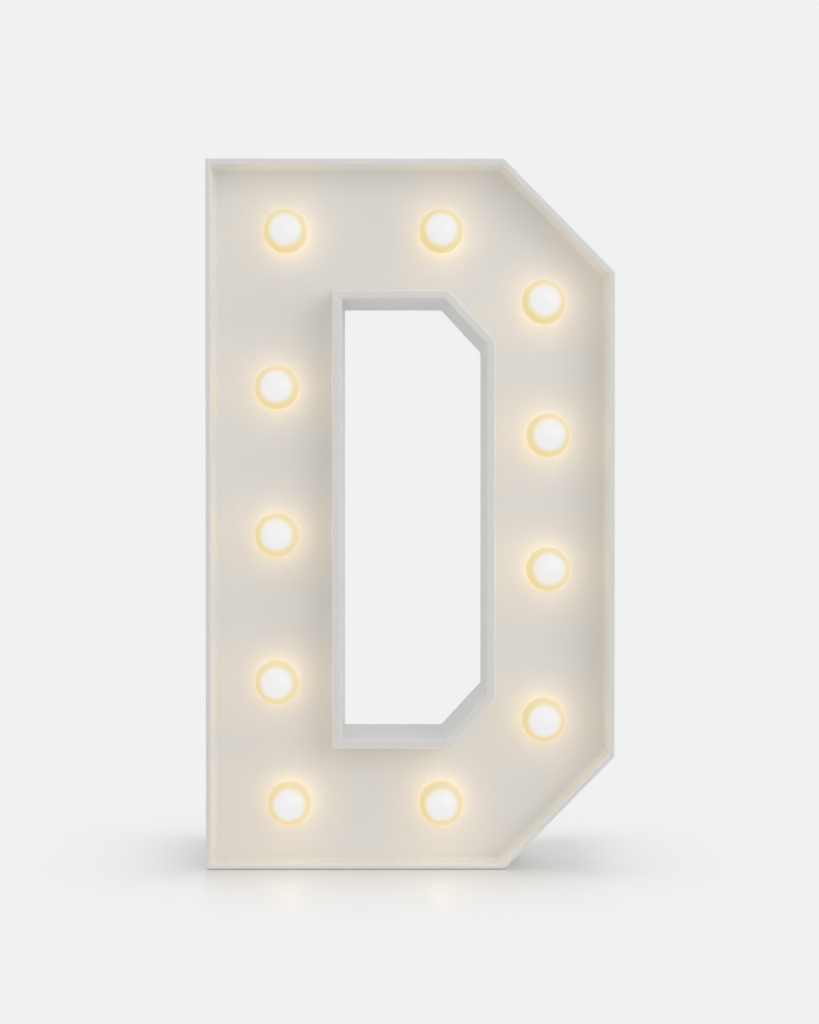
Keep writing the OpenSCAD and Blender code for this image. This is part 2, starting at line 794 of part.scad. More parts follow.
module switch_lead() {
    color("firebrick") wire([
        [well_x, y_solder, switch_z - terminal_w],
        [well_x, y_solder, switch_z + terminal_w],
        [resistor_x, y_resistor, resistor_low - wire_bend],
        [resistor_x, y_resistor, resistor_low - solder_gap],
    ]);
}

module return_lead() {
    x = well_x + cell_x;
    side_step = wire_d + solder_gap;
    low = bulb_places[0][1] + wire_d;
    high = low + 2 * wire_bend;
    color("dimgray") wire([
        [x, y_tab, tab_end + solder_gap],
        [x, y_tab, tab_end + wire_bend],
        [bus_x(1, low) + side_step, y_bus, low],
        [bus_x(1, high) + side_step, y_bus, high],
    ]);
}

// A resistor on Z, whose upper lead bends across the positive bus wire
module resistor() {
    body_low = resistor_low + resistor_lead_l;
    body_high = body_low + resistor_l;
    bend_z = body_high + resistor_lead_l;
    cap_l = resistor_d / 2;
    translate([resistor_x, y_resistor, 0]) color("burlywood") {
        translate([0, 0, resistor_low]) cylinder(h = bend_z - resistor_low, d = resistor_lead_d);
        translate([0, 0, body_low]) cylinder(h = resistor_l, d = 0.85 * resistor_d);
        for (z = [body_low, body_high - cap_l]) translate([0, 0, z]) cylinder(h = cap_l, d = resistor_d);
        translate([0, 0, bend_z]) sphere(d = resistor_lead_d);
        translate([0, 0, bend_z]) rotate([0, 90, 0])
            cylinder(h = bus_x(-1, bend_z) + resistor_lead_d - resistor_x, d = resistor_lead_d);
    }
}

// A cell on Z with its nub at the top, standing on its own base
module cell() {
    edge = 0.6;
    r = cell_d / 2;
    can_l = cell_l - nub_h;
    rotate_extrude() polygon([
        [0, 0], [r - 3 * edge, 0], [r - 2 * edge, edge / 2], [r - edge, 0], [r, edge],
        [r, can_l - edge], [r - edge, can_l], [nub_d / 2 + edge, can_l],
        [nub_d / 2, can_l], [nub_d / 2, cell_l - edge / 2], [nub_d / 2 - edge / 2, cell_l], [0, cell_l],
    ]);
}

cell_low = plate_low + spring_l + touch_gap;
cell_high = plate_high - spring_l - touch_gap;

module battery_left() {
    color("darkslategray") translate([well_x - cell_x, y_cell, cell_low]) cell();
}

module battery_right() {
    color("darkslategray") translate([well_x + cell_x, y_cell, cell_high]) rotate([180, 0, 0]) cell();
}

// A contact plate on the end wall at a height, with the solder tab through the wall
module contact_plate(x, w, z) {
    centred_block(x, w, y_cell - contact_w / 2, y_cell + contact_w / 2, z, z + contact_t);
}

module solder_tab(x) {
    y0 = y_cell - contact_w / 2;
    centred_block(x, tab_w, y0, y0 + contact_t, plate_high, tab_end);
}

module contact_spring() {
    tube(spring_route, spring_sides(), spring_wire_d, 6);
}

module positive_contact() {
    x = well_x - cell_x;
    color("silver") {
        contact_plate(x, contact_w, plate_high);
        solder_tab(x);
        translate([x, y_cell, plate_high - button_h]) cylinder(h = button_h + contact_t / 2, d = button_d);
    }
}

module negative_contact() {
    x = well_x + cell_x;
    color("silver") {
        contact_plate(x, contact_w, plate_high);
        solder_tab(x);
        translate([x, y_cell, plate_high]) rotate([180, 0, 0]) contact_spring();
    }
}

module bridge_contact() {
    color("silver") {
        contact_plate(well_x, 2 * cell_x + contact_w, plate_low - contact_t);
        translate([well_x - cell_x, y_cell, plate_low]) contact_spring();
        translate([well_x + cell_x, y_cell, plate_low - contact_t / 2])
            cylinder(h = button_h + contact_t / 2, d = button_d);
    }
}

// The U-shaped snap latch at the top of the door, drawn in Y and Z
module latch_profile() {
    outer_r = latch_r + latch_t;
    y_bend = y_back - latch_depth + outer_r;
    z_bend = door_high - outer_r;
    difference() {
        translate([y_bend, z_bend]) circle(outer_r);
        translate([y_bend, z_bend]) circle(latch_r);
        translate([y_bend, z_bend - 2 * outer_r]) square(4 * outer_r);
    }
    translate([y_bend, door_high - latch_t]) square([y_back - y_bend, latch_t]);
    translate([y_bend, door_high - 2 * outer_r]) square([y_door_in + lap - y_bend, latch_t]);
}

module battery_door() {
    x0 = well_x - door_w / 2;
    x1 = well_x + door_w / 2;
    notch = 2 * latch_r + latch_t;
    grip_top = door_high - notch - 2 * grip_pitch;
    color("gainsboro") {
        difference() {
            bar(x0, x1) {
                translate([y_door_in, hinge_z]) square([door_t, door_high - hinge_z]);
                translate([hinge_y, hinge_z]) circle(d = door_t);
            }
            centred_block(
                well_x, latch_w + 2 * latch_t, y_door_in - cut, y_back + cut, door_high - notch, door_high + cut
            );
            if (grip_count > 0)
                for (i = [0:grip_count - 1])
                    centred_block(
                        well_x, grip_l, y_back - grip_depth, y_back + cut,
                        grip_top - i * grip_pitch - grip_w, grip_top - i * grip_pitch
                    );
        }
        bar(well_x - latch_w / 2, well_x + latch_w / 2) latch_profile();
        for (side = [-1, 1]) {
            x = well_x + side * tongue_spread / 2;
            centred_block(
                x, tongue_w, tongue_bottom, tongue_top, tongue_low, door_low + door_t / 3 + tongue_web
            );
            centred_block(
                x, tongue_w, tongue_bottom, y_door_in + lap,
                door_low + door_t / 3, door_low + door_t / 3 + tongue_web
            );
        }
    }
}

// The folded steel frame of the slide switch, open towards its base
module switch_frame() {
    color("lightgray") difference() {
        union() {
            centred_block(
                well_x, frame_l, y_frame, y_ear, switch_z - frame_w / 2, switch_z + frame_w / 2
            );
            centred_block(
                well_x, ear_pitch + 2 * ear_end, y_ear - sheet_t, y_ear,
                switch_z - frame_w / 2, switch_z + frame_w / 2
            );
        }
        centred_block(
            well_x, frame_l - 2 * sheet_t, y_frame - cut, y_ear - sheet_t,
            switch_z - frame_w / 2 + sheet_t, switch_z + frame_w / 2 - sheet_t
        );
        centred_block(
            well_x, slot_l, y_ear - sheet_t - cut, y_ear + cut, switch_z - slot_w / 2, switch_z + slot_w / 2
        );
        for (side = [-1, 1])
            rod([well_x + side * ear_pitch / 2, switch_z], y_ear - sheet_t - cut, y_ear + cut,
                small_screw_d + 2 * thread_fit);
    }
}

module terminals(y0, y1, grow) {
    half = sheet_t / 2 + grow;
    for (i = [-1:1])
        centred_block(
            well_x + i * terminal_pitch, terminal_w + 2 * grow, y0, y1, switch_z - half, switch_z + half
        );
}

module switch_base() {
    half = frame_w / 2 - sheet_t - seat_fit;
    color("saddlebrown") difference() {
        centred_block(
            well_x, frame_l - 2 * (sheet_t + seat_fit), y_frame, y_base_back, switch_z - half, switch_z + half
        );
        terminals(y_frame - cut, y_base_back + cut, seat_fit);
    }
}

module switch_terminals() {
    color("goldenrod") terminals(y_terminal, y_base_back + seat_fit, 0);
}

// The moulded knob: cap with finger ridges, stem through both slots, slider inside the frame
module switch_knob() {
    y_cap = y_back - knob_sink;
    y_cap_in = y_pocket + move_fit;
    y_slider = y_ear - sheet_t - move_fit;
    slider_l = slot_l + 2 * move_fit;
    slider_w = frame_w - 2 * (sheet_t + move_fit);
    ridge_pitch = knob_l / (knob_ridges + 0.5);
    groove_w = ridge_pitch / 2;
    slider_half = min(slider_l / 2, frame_l / 2 - sheet_t - move_fit - knob_travel / 2);
    color("dimgray") {
        difference() {
            centred_block(
                knob_x, knob_l, y_cap_in, y_cap, switch_z - knob_w / 2, switch_z + knob_w / 2
            );
            for (i = [0:knob_ridges - 1])
                centred_block(
                    knob_x + (i - (knob_ridges - 1) / 2) * ridge_pitch, groove_w,
                    y_cap - move_fit, y_cap + cut, switch_z - knob_w, switch_z + knob_w
                );
        }
        centred_block(
            knob_x, stem_l, y_slider - lap, y_cap_in + lap, switch_z - stem_t / 2, switch_z + stem_t / 2
        );
        centred_block(
            knob_x, 2 * slider_half, y_base_back + 2 * move_fit, y_slider,
            switch_z - slider_w / 2, switch_z + slider_w / 2
        );
    }
}

// The two small screws hold the frame's ears to the posts, from the inside
module switch_screws() {
    color("silver")
        for (side = [-1, 1])
            translate([well_x + side * ear_pitch / 2, y_ear - sheet_t, switch_z]) mirror([0, 1, 0])
                screw([0, 0], 0, small_screw_d, small_screw_l, small_head_d, small_head_h);
}

function numbered(name, i) = str(name, i < 10 ? "_0" : "_", i);

letter_shell();
back_cover();
cover_screws();
for (i = [1:bulb_count]) bulb_globe(i - 1);
for (i = [1:bulb_count]) led(i - 1);
positive_bus_wire();
negative_bus_wire();
battery_lead();
switch_lead();
return_lead();
resistor();
battery_left();
battery_right();
positive_contact();
negative_contact();
bridge_contact();
battery_door();
switch_frame();
switch_base();
switch_terminals();
switch_knob();
switch_screws();
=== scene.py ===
"""Looks of a light-up letter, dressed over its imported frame.

Lengths are in metres, the letter stands on Z = 0 and its front faces -Y.
"""

import math

import bmesh
import bpy
from mathutils import Matrix, Vector


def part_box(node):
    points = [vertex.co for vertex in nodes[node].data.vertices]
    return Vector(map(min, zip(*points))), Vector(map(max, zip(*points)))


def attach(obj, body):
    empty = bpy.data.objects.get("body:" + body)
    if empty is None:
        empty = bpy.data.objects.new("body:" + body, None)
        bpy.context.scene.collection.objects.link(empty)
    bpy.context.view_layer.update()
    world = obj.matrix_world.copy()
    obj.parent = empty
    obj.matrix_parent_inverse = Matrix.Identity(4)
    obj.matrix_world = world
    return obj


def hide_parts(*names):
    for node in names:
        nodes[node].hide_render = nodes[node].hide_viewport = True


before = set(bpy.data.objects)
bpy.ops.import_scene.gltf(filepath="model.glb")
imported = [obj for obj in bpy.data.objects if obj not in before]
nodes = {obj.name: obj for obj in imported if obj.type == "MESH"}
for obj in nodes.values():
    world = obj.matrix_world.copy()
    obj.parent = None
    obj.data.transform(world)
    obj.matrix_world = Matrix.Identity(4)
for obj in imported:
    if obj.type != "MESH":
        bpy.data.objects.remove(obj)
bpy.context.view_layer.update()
scene = bpy.context.scene
MM = 0.001


# Helpers for shader trees

NOISE_LOW = 0.3
NOISE_HIGH = 0.7


def add(tree, kind, inputs=None, **settings):
    """One node with its settings, and a value or a link for each named input."""
    made = tree.nodes.new(kind)
    for key, value in settings.items():
        setattr(made, key, value)
    for key, value in (inputs or {}).items():
        if isinstance(value, bpy.types.NodeSocket):
            tree.links.new(value, made.inputs[key])
        else:
            made.inputs[key].default_value = value
    return made


def blank(name):
    """An empty material and its tree."""
    material = bpy.data.materials.new(name)
    material.use_nodes = True
    material.node_tree.nodes.clear()
    return material, material.node_tree


def close(tree, shader):
    """Join a shader to the material's output."""
    add(tree, "ShaderNodeOutputMaterial", {"Surface": shader.outputs[0]})


def place(tree):
    """Object coordinates, in metres."""
    return add(tree, "ShaderNodeTexCoord").outputs["Object"]


def axes(tree, vector):
    """The three values of a vector."""
    return add(tree, "ShaderNodeSeparateXYZ", {"Vector": vector}).outputs


def maths(tree, step, *values):
    """The result of one step of arithmetic."""
    return add(tree, "ShaderNodeMath", dict(enumerate(values)), operation=step).outputs[0]


def mixed(tree, share, first, second):
    """Two shaders, with this share of the second."""
    inputs = {0: share, 1: first.outputs[0], 2: second.outputs[0]}
    return add(tree, "ShaderNodeMixShader", inputs)


def noise(tree, at, size, detail=3.0):
    """A soft random pattern whose features are about this size."""
    values = {"Vector": at, "Scale": 1 / size, "Detail": detail, "Roughness": 0.5}
    return add(tree, "ShaderNodeTexNoise", values).outputs["Fac"]


def spread(tree, value, low, high, start=NOISE_LOW, end=NOISE_HIGH):
    """The value stretched from start..end to low..high."""
    limits = {"Value": value, "From Min": start, "From Max": end, "To Min": low, "To Max": high}
    return add(tree, "ShaderNodeMapRange", limits).outputs["Result"]


def ramp(tree, value, stops, mode="LINEAR"):
    """Colours along a value, given as (position, (r, g, b))."""
    made = add(tree, "ShaderNodeValToRGB", {"Fac": value})
    band = made.color_ramp
    band.interpolation = mode
    while len(band.elements) < len(stops):
        band.elements.new(1.0)
    for element, (position, colour) in zip(band.elements, stops):
        element.position = position
        element.color = (*colour, 1.0)
    return made.outputs["Color"]


def levels(tree, value, stops):
    """Greys along a value, given as (position, level)."""
    return ramp(tree, value, [(position, (level,) * 3) for position, level in stops])


def mottled(tree, pattern, dark, pale):
    """Two close tones along a noise."""
    return ramp(tree, pattern, [(NOISE_LOW, dark), (NOISE_HIGH, pale)])


def relief(tree, height, depth):
    """A bump whose full height is this depth."""
    values = {"Height": height, "Distance": depth, "Strength": 1.0}
    return add(tree, "ShaderNodeBump", values).outputs["Normal"]


def seen_rays(tree):
    """1 for the rays that show the plain background: from the camera, a mirror or glass."""
    rays = add(tree, "ShaderNodeLightPath").outputs
    seen = maths(tree, "MAXIMUM", rays["Is Camera Ray"], rays["Is Glossy Ray"])
    return maths(tree, "MAXIMUM", seen, rays["Is Transmission Ray"])


def surface(name, dark, pale, patch, grain, depth, gloss, stretch=(1, 1, 1), **sockets):
    """A finish of two close tones in soft patches.

    A fine grain of this depth, drawn out by the stretch, also varies its roughness over the gloss.
    """
    material, tree = blank(name)
    at = place(tree)
    along = add(tree, "ShaderNodeMapping", {"Vector": at, "Scale": stretch}).outputs["Vector"]
    fine = noise(tree, along, grain)
    inputs = {
        "Base Color": mottled(tree, noise(tree, at, patch, detail=4.0), dark, pale),
        "Roughness": spread(tree, fine, *gloss),
        "Normal": relief(tree, fine, depth),
    }
    inputs.update(sockets)
    close(tree, add(tree, "ShaderNodeBsdfPrincipled", inputs))
    return material


# Finishes of the letter's own pieces

SHELL_PALE = (0.886, 0.879, 0.862)
SHELL_DARK = (0.870, 0.862, 0.844)
TRANSLUCENT = {
    "Subsurface Weight": 1.0, "Subsurface Radius": (1.0, 1.0, 1.0), "Subsurface Scale": 0.4 * MM,
}
CLEAR = {"Transmission Weight": 0.6, "IOR": 1.5}
LACQUER = {"Coat Weight": 0.4, "Coat Roughness": 0.12}

shell_plastic = surface(
    "fine_grained_white_plastic", SHELL_DARK, SHELL_PALE,
    patch=34 * MM, grain=0.32 * MM, depth=0.010 * MM, gloss=(0.40, 0.52), **TRANSLUCENT
)
cover_plastic = surface(
    "coarser_white_cover_plastic", SHELL_DARK, SHELL_PALE,
    patch=22 * MM, grain=0.55 * MM, depth=0.022 * MM, gloss=(0.48, 0.62)
)
knob_plastic = surface(
    "satin_black_knob_plastic", (0.020, 0.020, 0.021), (0.034, 0.034, 0.035),
    patch=2 * MM, grain=0.18 * MM, depth=0.008 * MM, gloss=(0.38, 0.52)
)
red_insulation = surface(
    "red_wire_insulation", (0.42, 0.022, 0.018), (0.52, 0.034, 0.026),
    patch=6 * MM, grain=0.3 * MM, depth=0.006 * MM, gloss=(0.32, 0.46)
)
black_insulation = surface(
    "black_wire_insulation", (0.016, 0.016, 0.017), (0.028, 0.028, 0.028),
    patch=6 * MM, grain=0.3 * MM, depth=0.006 * MM, gloss=(0.32, 0.46)
)
brown_laminate = surface(
    "brown_pressed_laminate", (0.15, 0.070, 0.028), (0.24, 0.12, 0.050),
    patch=1.2 * MM, grain=0.12 * MM, depth=0.010 * MM, gloss=(0.5, 0.7), stretch=(0.25, 1, 1)
)
nickel_steel = surface(
    "nickel_plated_spring_steel", (0.60, 0.58, 0.54), (0.68, 0.66, 0.62),
    patch=3 * MM, grain=0.10 * MM, depth=0.003 * MM, gloss=(0.20, 0.34),
    stretch=(1, 0.15, 1), Metallic=1.0
)
zinc_steel = surface(
    "zinc_plated_screw_steel", (0.52, 0.53, 0.54), (0.64, 0.64, 0.63),
    patch=1.5 * MM, grain=0.14 * MM, depth=0.006 * MM, gloss=(0.26, 0.42), Metallic=1.0
)
tinned_sheet = surface(
    "tinned_switch_sheet", (0.58, 0.58, 0.57), (0.68, 0.68, 0.66),
    patch=2.5 * MM, grain=0.12 * MM, depth=0.004 * MM, gloss=(0.28, 0.44),
    stretch=(0.12, 1, 1), Metallic=1.0
)
terminal_brass = surface(
    "tinned_terminal_brass", (0.62, 0.44, 0.18), (0.74, 0.58, 0.30),
    patch=1.0 * MM, grain=0.10 * MM, depth=0.004 * MM, gloss=(0.26, 0.42), Metallic=1.0
)
grey_print = surface(
    "grey_pad_print", (0.075, 0.075, 0.078), (0.105, 0.105, 0.108),
    patch=1.5 * MM, grain=0.15 * MM, depth=0.004 * MM, gloss=(0.45, 0.6)
)
diode_resin = surface(
    "clear_cast_diode_resin", (0.84, 0.82, 0.74), (0.90, 0.88, 0.80),
    patch=2 * MM, grain=0.4 * MM, depth=0.004 * MM, gloss=(0.08, 0.16), **CLEAR
)
jacket_dark = surface(
    "dark_printed_cell_jacket", (0.012, 0.060, 0.072), (0.018, 0.078, 0.092),
    patch=9 * MM, grain=0.5 * MM, depth=0.003 * MM, gloss=(0.20, 0.30), **LACQUER
)
jacket_pale = surface(
    "pale_printed_cell_band", (0.50, 0.51, 0.50), (0.58, 0.59, 0.57),
    patch=9 * MM, grain=0.5 * MM, depth=0.003 * MM, gloss=(0.20, 0.30), **LACQUER
)
can_steel = surface(
    "cell_can_steel", (0.58, 0.57, 0.54), (0.66, 0.65, 0.62),
    patch=3 * MM, grain=0.12 * MM, depth=0.003 * MM, gloss=(0.22, 0.34), Metallic=1.0
)

# Glow of a lit cap: colours up its height from the tail to the crown. Below the crown its side carries
# painted shade, warmer and darker towards the lower left, and painted light, cooler and paler towards the
# upper right
GLOW = [
    (0.00, (0.031, 0.026, 0.018)),
    (0.30, (0.031, 0.026, 0.018)),
    (0.34, (0.150, 0.116, 0.066)),
    (0.50, (0.132, 0.104, 0.056)),
    (0.602, (0.110, 0.088, 0.045)),
    (0.74, (0.103, 0.086, 0.046)),
    (0.84, (0.106, 0.087, 0.049)),
    (0.89, (0.112, 0.100, 0.074)),
    (0.92, (0.110, 0.112, 0.121)),
    (1.00, (0.110, 0.113, 0.124)),
]
GLOW_STRENGTH = 5.8
GLOW_WAVER = 0.005
WAVER_SIZE = 1.6 * MM
FROST_SIZE = 0.22 * MM
FROST_DEPTH = 0.006 * MM
# Painted light and shade round the cap's side: a cool pale tint on the upper right, a warm dark tint on the
# lower left, fading out towards the crown
PAINTED_LIGHT_TINT = (1.0, 1.04, 1.20)
PAINTED_SHADE_TINT = (1.0, 0.95, 0.79)
PAINTED_SHADE_TURN = 0.625
PAINTED_SHADE_FADES = 0.80
PAINTED_SHADE_ENDS = 0.92
FROST_DARK = (0.27, 0.24, 0.16)
FROST_PALE = (0.31, 0.28, 0.19)


def glowing_globe():
    """A frosted cap lit from inside, with painted shade on its lower-left side and painted light on its
    upper-right side.

    Its UV map holds the turn around the cap and the height up its side, each from 0 to 1.
    """
    material, tree = blank("frosted_glowing_bulb_cap")
    uv = axes(tree, add(tree, "ShaderNodeUVMap", uv_map="cap").outputs["UV"])
    frost = noise(tree, place(tree), FROST_SIZE)
    waver = spread(tree, noise(tree, place(tree), WAVER_SIZE), -GLOW_WAVER, GLOW_WAVER)
    height = maths(tree, "ADD", uv["Y"], waver)
    # Painted shade: the side at this turn, the lower left, gets the warm dark tint and the opposite side
    # the cool pale one
    turn = maths(tree, "MULTIPLY_ADD", uv["X"], math.tau, -PAINTED_SHADE_TURN * math.tau)
    shaded_side = spread(tree, maths(tree, "COSINE", turn), 0.0, 1.0, -1.0, 1.0)
    painted_side_shade = ramp(tree, shaded_side, [(0.0, PAINTED_LIGHT_TINT), (1.0, PAINTED_SHADE_TINT)])
    below_crown = spread(tree, height, 1.0, 0.0, PAINTED_SHADE_FADES, PAINTED_SHADE_ENDS)
    inputs = {0: below_crown, 6: ramp(tree, height, GLOW, "EASE"), 7: painted_side_shade}
    glow_with_painted_shade = add(tree, "ShaderNodeMix", inputs, data_type="RGBA", blend_type="MULTIPLY")
    close(tree, add(tree, "ShaderNodeBsdfPrincipled", {
        "Base Color": mottled(tree, frost, FROST_DARK, FROST_PALE),
        "Roughness": spread(tree, frost, 0.30, 0.46),
        "Normal": relief(tree, frost, FROST_DEPTH),
        "Emission Color": glow_with_painted_shade.outputs[2],
        "Emission Strength": GLOW_STRENGTH,
    }))
    return material


globe_glow = glowing_globe()

LEAD_GREY = (0.56, 0.56, 0.54)
LACQUER_TAN = (0.56, 0.40, 0.22)
RESISTOR_BANDS = [
    (0.0, LEAD_GREY), (0.33, LACQUER_TAN), (0.41, (0.03, 0.09, 0.30)), (0.46, LACQUER_TAN),
    (0.51, (0.30, 0.03, 0.02)), (0.56, LACQUER_TAN), (0.61, (0.45, 0.28, 0.06)), (0.66, LEAD_GREY),
]


def banded_lacquer(low, high):
    """The resistor's finish: hard bands of colour up its length, with its leads at both ends."""
    material, tree = blank("banded_resistor_lacquer")
    at = place(tree)
    fine = noise(tree, at, 0.4 * MM)
    up = spread(tree, axes(tree, at)["Z"], 0.0, 1.0, low.z, high.z)
    close(tree, add(tree, "ShaderNodeBsdfPrincipled", {
        "Base Color": ramp(tree, up, RESISTOR_BANDS, "CONSTANT"),
        "Roughness": spread(tree, fine, 0.2, 0.32),
        "Normal": relief(tree, fine, 0.004 * MM),
    }))
    return material


# Helpers for meshes

WELD_GAP = 0.002 * MM
FLAT_ANGLE = math.radians(0.4)
MOULD_EDGE_ANGLE = math.radians(32)
ON_AXIS = 1e-9


def placed(name, data):
    """A new object in the scene."""
    made = bpy.data.objects.new(name, data)
    scene.collection.objects.link(made)
    return made


def piece(name, mesh, materials, body, slot, *replaced):
    """A finished piece at the origin, riding on its body in place of the named solids."""
    made = placed(name, mesh)
    if not mesh.materials:
        for material in materials:
            mesh.materials.append(material)
    if replaced:
        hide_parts(*replaced)
    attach(made, body)
    return made


def middle_of(node):
    """Middle of a solid's box."""
    low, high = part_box(node)
    return (low + high) / 2


def plain_mesh(made):
    """An object's shape after its modifiers, as a mesh of its own."""
    bpy.context.view_layer.update()
    graph = bpy.context.evaluated_depsgraph_get()
    return bpy.data.meshes.new_from_object(made.evaluated_get(graph), depsgraph=graph)


def mesh_of(shape, name):
    """A mesh of a finished shape, which is then let go."""
    mesh = bpy.data.meshes.new(name)
    shape.to_mesh(mesh)
    shape.free()
    return mesh


def outwards(shape):
    """Point a closed shape's faces outwards."""
    bmesh.ops.recalc_face_normals(shape, faces=shape.faces)


def merged(node):
    """A welded copy of a solid's mesh, with its flat faces made whole again."""
    source = nodes[node].data
    mesh = bpy.data.meshes.new(node + "_dressed")
    corners = [tuple(v.co) for v in source.vertices]
    mesh.from_pydata(corners, [], [tuple(p.vertices) for p in source.polygons])
    shape = bmesh.new()
    shape.from_mesh(mesh)
    bmesh.ops.remove_doubles(shape, verts=shape.verts, dist=WELD_GAP)
    bmesh.ops.dissolve_degenerate(shape, edges=shape.edges, dist=WELD_GAP)
    bmesh.ops.dissolve_limit(shape, angle_limit=FLAT_ANGLE, verts=shape.verts, edges=shape.edges)
    shape.to_mesh(mesh)
    shape.free()
    mesh.shade_smooth()
    return mesh


def soften(made, width, segments, own_radius=None):
    """Round off the sharp edges as a mould leaves them.

    own_radius gives an edge's radius where it isn't the width, and None where it is.
    """
    shape = bmesh.new()
    shape.from_mesh(made.data)
    weight = shape.edges.layers.float.new("bevel_weight_edge")
    radii = {}
    for edge in shape.edges:
        if len(edge.link_faces) == 2 and edge.calc_face_angle() > MOULD_EDGE_ANGLE:
            radii[edge] = (own_radius and own_radius(edge)) or width
    largest = max(radii.values())
    for edge, radius in radii.items():
        edge[weight] = radius / largest
    shape.to_mesh(made.data)
    shape.free()
    bevel = made.modifiers.new("moulded_edges", "BEVEL")
    bevel.width = largest
    bevel.segments = segments
    bevel.limit_method = "WEIGHT"
    bevel.use_clamp_overlap = False
    bevel.harden_normals = True


def lathe(name, profile, steps, uv_span=None, finish_of=None):
    """A closed turned shape about Z. The profile runs from the axis at the top round to the axis again.

    uv_span gives the heights at the bottom and top of the UV map, where there is one. finish_of gives
    a run's place in the list of finishes from the radius and height of its middle.
    """
    shape = bmesh.new()
    turns = [2 * math.pi * k / steps for k in range(steps)]
    rings = []
    for r, h in profile:
        if r < ON_AXIS:
            rings.append([shape.verts.new((0, 0, h))])
        else:
            rings.append([shape.verts.new((r * math.cos(a), r * math.sin(a), h)) for a in turns])
    layer = shape.loops.layers.uv.new("cap") if uv_span else None
    for i, (upper, lower) in enumerate(zip(rings, rings[1:])):
        middle = [(a + b) / 2 for a, b in zip(profile[i], profile[i + 1])]
        for k in range(steps):
            n = (k + 1) % steps
            start = (upper[k % len(upper)], lower[k % len(lower)])
            end = (lower[n % len(lower)], upper[n % len(upper)])
            corners = list(dict.fromkeys(start + end))
            if len(corners) < 3:
                continue
            face = shape.faces.new(corners)
            face.smooth = True
            face.material_index = finish_of(*middle) if finish_of else 0
            if layer is None:
                continue
            low, high = uv_span
            for corner in face.loops:
                turn = (k if corner.vert in start else k + 1) / steps
                corner[layer].uv = (turn, (corner.vert.co.z - low) / (high - low))
    outwards(shape)
    return mesh_of(shape, name)


def arc(r, h, radius, start, end, steps):
    """Profile points on a circle about (r, h), in degrees from the outward direction."""
    angles = [math.radians(start + (end - start) * i / steps) for i in range(steps + 1)]
    return [(max(r + radius * math.cos(a), 0.0), h + radius * math.sin(a)) for a in angles]


# Geometry Nodes that repeat one piece on points

REPEAT_INPUTS = (
    ("Geometry", "NodeSocketGeometry"), ("Piece", "NodeSocketObject"), ("Size", "NodeSocketFloat"),
    ("Largest turn", "NodeSocketFloat"), ("Seed", "NodeSocketInt"), ("Finish", "NodeSocketMaterial"),
)


def repeat_tree():
    """Each point gets the piece, turned about Y by a random part of the largest turn."""
    tree = bpy.data.node_groups.new("repeat_on_points", "GeometryNodeTree")
    sockets = {}
    for label, kind in REPEAT_INPUTS:
        sockets[label] = tree.interface.new_socket(label, in_out="INPUT", socket_type=kind).identifier
    tree.interface.new_socket("Geometry", in_out="OUTPUT", socket_type="NodeSocketGeometry")
    given = add(tree, "NodeGroupInput").outputs
    one = add(tree, "GeometryNodeObjectInfo", {"Object": given["Piece"]}).outputs["Geometry"]
    chance = add(tree, "FunctionNodeRandomValue", {"Seed": given["Seed"]}, data_type="FLOAT")
    tree.links.new(given["Largest turn"], next(s for s in chance.inputs if s.enabled and s.name == "Max"))
    value = next(s for s in chance.outputs if s.enabled)
    turn = add(tree, "ShaderNodeCombineXYZ", {"Y": value}).outputs["Vector"]
    spots = add(tree, "GeometryNodeInstanceOnPoints", {
        "Points": given["Geometry"], "Instance": one, "Rotation": turn, "Scale": given["Size"],
    }).outputs["Instances"]
    whole = add(tree, "GeometryNodeRealizeInstances", {"Geometry": spots}).outputs["Geometry"]
    done = add(tree, "GeometryNodeSetMaterial", {"Geometry": whole, "Material": given["Finish"]})
    add(tree, "NodeGroupOutput", {"Geometry": done.outputs["Geometry"]})
    return tree, sockets


repeat, repeat_sockets = repeat_tree()


def repeated(name, mesh, points, finish, largest_turn=0.0, seed=1):
    """A plain mesh of the piece repeated on the points."""
    one = bpy.data.objects.new(name + "_one", mesh)
    carrier_mesh = bpy.data.meshes.new(name + "_points")
    carrier_mesh.from_pydata(points, [], [])
    carrier = placed(name + "_points", carrier_mesh)
    modifier = carrier.modifiers.new("repeat", "NODES")
    modifier.node_group = repeat
    values = {"Piece": one, "Size": 1.0, "Largest turn": largest_turn, "Seed": seed, "Finish": finish}
    for label, value in values.items():
        modifier[repeat_sockets[label]] = value
    whole = plain_mesh(carrier)
    whole.name = name
    bpy.data.objects.remove(carrier)
    bpy.data.objects.remove(one)
    return whole


# The mouldings

FLOOR_EDGE_R = 1.0 * MM
RECESS_FOOT_R = 0.9 * MM
RECESS_LIP_R = 0.4 * MM
RECESS_DEPTH = 13.2 * MM
LEVEL = 0.01 * MM
shell_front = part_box("letter_shell")[0].y
shell_middle = middle_of("letter_shell")


def shell_edge_radius(edge):
    """Own roundings where the letter stands, at the recess's foot and on the recess side of the rim."""
    ends = [v.co for v in edge.verts]
    if all(end.z < LEVEL for end in ends):
        return FLOOR_EDGE_R
    if not edge.is_convex:
        on_panel = abs(max(end.y for end in ends) - (shell_front + RECESS_DEPTH)) < LEVEL
        return RECESS_FOOT_R if on_panel else None
    if all(end.y < shell_front + LEVEL for end in ends):
        side = max(edge.link_faces, key=lambda face: face.normal.y)
        inwards = side.normal.dot(shell_middle - (ends[0] + ends[1]) / 2) > 0
        return RECESS_LIP_R if inwards else None
    return None


def moulding(name, node, finish, body, slot, width, segments, own_radius=None):
    """A moulded piece in place of its solid, with its edges rounded by this width."""
    soften(piece(name, merged(node), [finish], body, slot, node), width, segments, own_radius)


